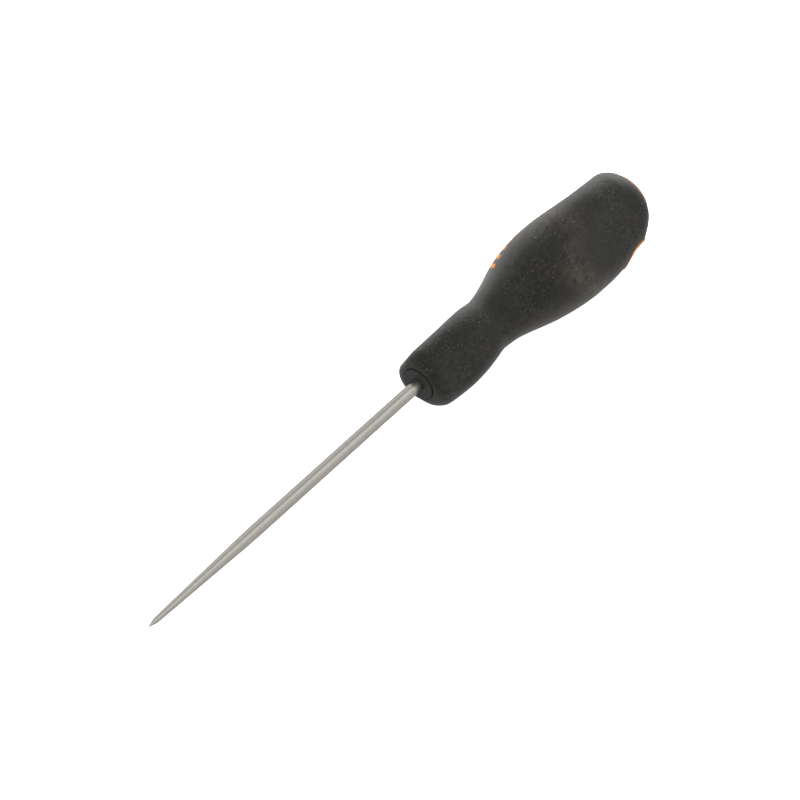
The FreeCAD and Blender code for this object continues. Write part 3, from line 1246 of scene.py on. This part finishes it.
# ------------------------------------------------------------------- studio
@dataclass
class Studio:
    """Pale lit floor, soft surroundings, a lamp and the camera.

    Lengths are in metres in the row frame, but aim is in millimetres in the tool's axes.
    Each of the walls is a direction towards the back and the glow seen there.
    """

    floor_half: float = 3.0
    floor_cells: int = 8
    floor_gap: float = 0.0002
    floor_glow: float = 1.0
    floor_tones: tuple[Colour, Colour] = ((0.90, 0.90, 0.90), (0.92, 0.92, 0.92))
    floor_pattern: Pattern = Pattern(0.02, 3.0, 0.5, 0.3, 0.7)
    floor_roughness: float = 0.9
    horizon: float = 0.05
    underside: Colour = (0.58, 0.57, 0.55)
    walls: tuple[Spot, ...] = (
        (-1.0, 0.60), (-0.85, 0.64), (-0.65, 0.80), (-0.47, 0.98), (-0.25, 0.92), (0.0, 0.60),
        (0.26, 0.50), (0.50, 0.66), (0.71, 0.78), (1.0, 0.80),
    )
    lamp_place: Point = (0.36, 0.38, 0.17)
    lamp_size: Spot = (0.40, 0.30)
    lamp_glow: float = 11.5
    lamp_aim: float = 0.75
    camera_distance: float = 1.2
    elevation_deg: float = 42.406
    azimuth_deg: float = -50.378
    lens: float = 180.48
    sensor: float = 36.0
    clip: Spot = (0.05, 50.0)
    aim: Point = (-5.579, 3.605, 0.374)

    def floor(self) -> None:
        """Pale floor that the object lies on, left out of what lights and mirrors in the object."""
        build = bmesh.new()
        bmesh.ops.create_grid(build, x_segments=self.floor_cells, y_segments=self.floor_cells,
                              size=self.floor_half)
        mesh = bpy.data.meshes.new("floor")
        build.to_mesh(mesh)
        build.free()
        floor = bpy.data.objects.new("floor", mesh)
        bpy.context.scene.collection.objects.link(floor)
        floor.location.z = CAD_BOX[0].z - self.floor_gap
        shader = Shader("floor_pale", Matrix.Identity(4))
        colour = shader.mix(shader.spread(self.floor_pattern), *self.floor_tones)
        shader.set(Base_Color=colour, Roughness=self.floor_roughness,
                   Emission_Color=(1.0, 1.0, 1.0, 1.0), Emission_Strength=self.floor_glow)
        mesh.materials.append(shader.material)
        floor.visible_diffuse = floor.visible_glossy = floor.visible_shadow = False

    def surroundings(self) -> None:
        """Bright walls in front, a dim strip overhead, duller walls behind, grey below."""
        world = bpy.data.worlds.new("studio")
        bpy.context.scene.world = world
        world.use_nodes = True
        nodes = Nodes(world.node_tree)
        split = nodes.add("SeparateXYZ", Vector=nodes.add("TexCoord").outputs["Generated"])
        toward_back = nodes.add("MapRange", Value=split.outputs["Y"], From_Min=-1.0)
        ramp = nodes.add("ValToRGB", Fac=toward_back.outputs[0])
        stops = ramp.color_ramp.elements
        while len(stops) < len(self.walls):
            stops.new(1.0)
        for stop, (place, glow) in zip(stops, self.walls):
            stop.position = (place + 1.0) / 2.0
            stop.color = (glow, glow, glow, 1.0)
        above = nodes.add("MapRange", Value=split.outputs["Z"], From_Min=-self.horizon,
                          From_Max=self.horizon)
        colour = nodes.mix(above.outputs[0], self.underside, ramp.outputs[0])
        nodes.feed(nodes.tree.nodes["Background"].inputs["Color"], colour)

    def lamp(self) -> None:
        """Soft lamp behind the tool, aimed at it and left out of its mirror reflections."""
        light = bpy.data.lights.new("lamp_back", "AREA")
        light.shape = "RECTANGLE"
        light.size, light.size_y = self.lamp_size
        light.energy = self.lamp_glow * math.pi * self.lamp_size[0] * self.lamp_size[1]
        lamp = bpy.data.objects.new("lamp_back", light)
        bpy.context.scene.collection.objects.link(lamp)
        lamp.location = self.lamp_place
        aim = CAD_BOX[0].lerp(CAD_BOX[1], self.lamp_aim)
        lamp.rotation_euler = (aim - lamp.location).to_track_quat("-Z", "Y").to_euler()
        lamp.visible_glossy = False

    def camera(self, tool: Matrix) -> None:
        """Camera above the point, looking along the tool towards the butt.

        Args:
            tool: the tool's axes in the row frame.
        """
        data = bpy.data.cameras.new("camera")
        data.lens = self.lens
        data.sensor_width = self.sensor
        data.clip_start, data.clip_end = self.clip
        camera = bpy.data.objects.new("camera", data)
        bpy.context.scene.collection.objects.link(camera)
        rise, turn = math.radians(self.elevation_deg), math.radians(self.azimuth_deg)
        back = Vector((math.sin(turn) * math.cos(rise), -math.cos(turn) * math.cos(rise), math.sin(rise)))
        camera.location = tool @ (Vector(self.aim) * MM) + back * self.camera_distance
        camera.rotation_euler = back.to_track_quat("Z", "Y").to_euler()
        bpy.context.scene.camera = camera

    def build(self, tool: Matrix) -> None:
        """Set up the floor, the light and the camera.

        Args:
            tool: the tool's axes in the row frame.
        """
        self.floor()
        self.surroundings()
        self.lamp()
        self.camera(tool)
        bpy.context.scene.view_settings.view_transform = "Standard"


def main() -> None:
    """Build every piece of the awl, dress it and set up the studio."""
    logging.basicConfig(level=logging.INFO, format="%(name)s: %(message)s")
    form, marks, hole = HandleForm(), Marks(), HangingHole()
    tool = tool_axes(frame["record"], hole.x)
    orange = ORANGE_FINISH.build(tool)
    parts = (
        (Blade(), SteelFinish().build(tool)),
        (Core(), BLACK_FINISH.build(tool)),
        (Shell(form, marks, hole), orange),
        (Grip(form, marks, hole), RubberFinish().build(tool)),
        (EndCap(), orange),
    )
    for part, finish in parts:
        piece = part.build(tool, finish)
        LOG.info("%s: %d faces in %s", piece.name, len(piece.data.polygons), finish.name)
    Studio().build(tool)


if __name__ == "__main__":
    main()
